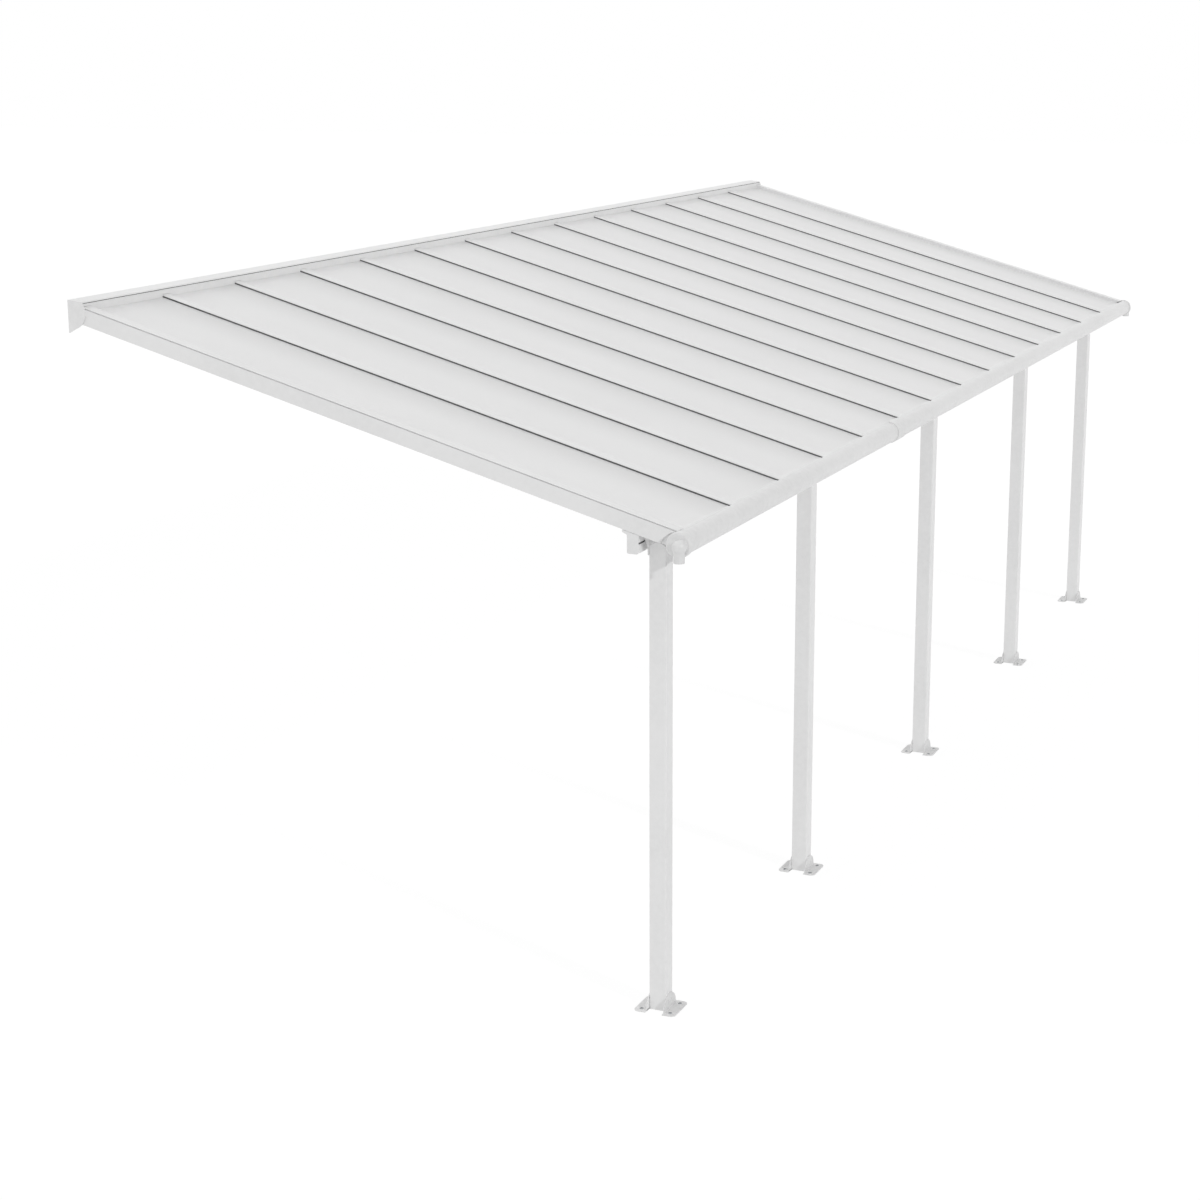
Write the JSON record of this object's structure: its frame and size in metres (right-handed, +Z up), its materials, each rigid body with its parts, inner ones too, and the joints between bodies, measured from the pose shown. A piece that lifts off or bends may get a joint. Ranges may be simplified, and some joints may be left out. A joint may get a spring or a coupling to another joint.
{
  "type": "attached patio cover",
  "caption": "Lean-to patio cover: twin-wall roof panels between rafters, wall profile, front gutter and square posts on foot brackets.",
  "frame": {"origin": "on the wall face, at the centre of the wall profile's flat back", "axes": "+X along the wall, +Y into the wall, +Z up; the gutter and posts stand at -Y"},
  "size_m": [8.752, 2.918, 2.864],
  "materials": {
    "panel_sheet": "translucent white twin-wall polycarbonate",
    "frame_coat": "satin white powder coat on aluminium",
    "gutter_coat": "satin white powder coat on aluminium",
    "cap_plastic": "white moulded plastic",
    "bracket_coat": "satin white powder coat on steel"
  },
  "bodies": {
    "root": {"panel_1": "panel_sheet", "panel_2": "panel_sheet", "panel_3": "panel_sheet", "panel_4": "panel_sheet", "panel_5": "panel_sheet", "panel_6": "panel_sheet", "panel_7": "panel_sheet", "panel_8": "panel_sheet", "panel_9": "panel_sheet", "panel_10": "panel_sheet", "panel_11": "panel_sheet", "panel_12": "panel_sheet", "panel_13": "panel_sheet", "panel_14": "panel_sheet", "rafter_1": "frame_coat", "rafter_2": "frame_coat", "rafter_3": "frame_coat", "rafter_4": "frame_coat", "rafter_5": "frame_coat", "rafter_6": "frame_coat", "rafter_7": "frame_coat", "rafter_8": "frame_coat", "rafter_9": "frame_coat", "rafter_10": "frame_coat", "rafter_11": "frame_coat", "rafter_12": "frame_coat", "rafter_13": "frame_coat", "side_beam_left": "frame_coat", "side_beam_right": "frame_coat", "wall_profile": "frame_coat", "wall_cover": "frame_coat", "wall_end_caps": "cap_plastic", "gutter_left": "gutter_coat", "gutter_right": "gutter_coat", "gutter_joint": "gutter_coat", "gutter_end_left": "gutter_coat", "gutter_end_right": "gutter_coat", "eave_rail": "frame_coat", "post_1": "frame_coat", "post_2": "frame_coat", "post_3": "frame_coat", "post_4": "frame_coat", "post_5": "frame_coat", "post_heads": "frame_coat", "foot_brackets": "bracket_coat"}
  },
  "joints": []
}
